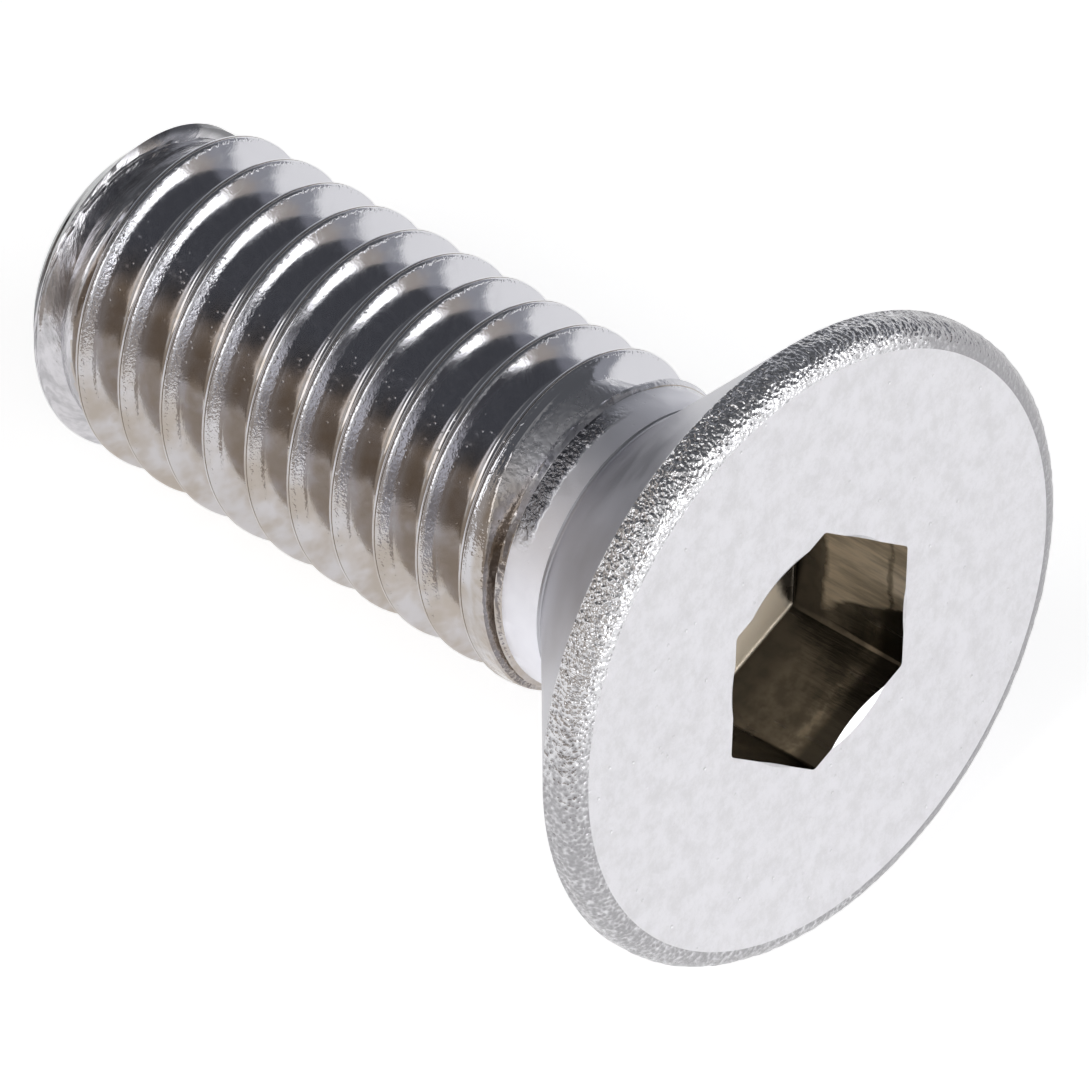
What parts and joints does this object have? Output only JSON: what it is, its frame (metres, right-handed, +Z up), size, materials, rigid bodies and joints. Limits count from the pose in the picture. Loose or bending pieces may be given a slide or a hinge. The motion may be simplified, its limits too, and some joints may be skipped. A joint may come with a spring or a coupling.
{
  "type": "countersunk socket screw",
  "caption": "Countersunk machine screw with a flat head, a hexagon socket and a full-length metric thread.",
  "frame": {"origin": "on the table under the middle of the lying screw's bounding box", "axes": "the screw lies along X as it comes to rest, on its head's rim and its last full thread; its head points to +X and leans 11.17 degrees up, and +Z is up"},
  "size_m": [0.0172, 0.0116, 0.0114],
  "materials": {
    "stainless_steel": "bright rolled thread, matt pitted head face"
  },
  "bodies": {
    "root": {"screw": "stainless_steel"}
  },
  "joints": []
}
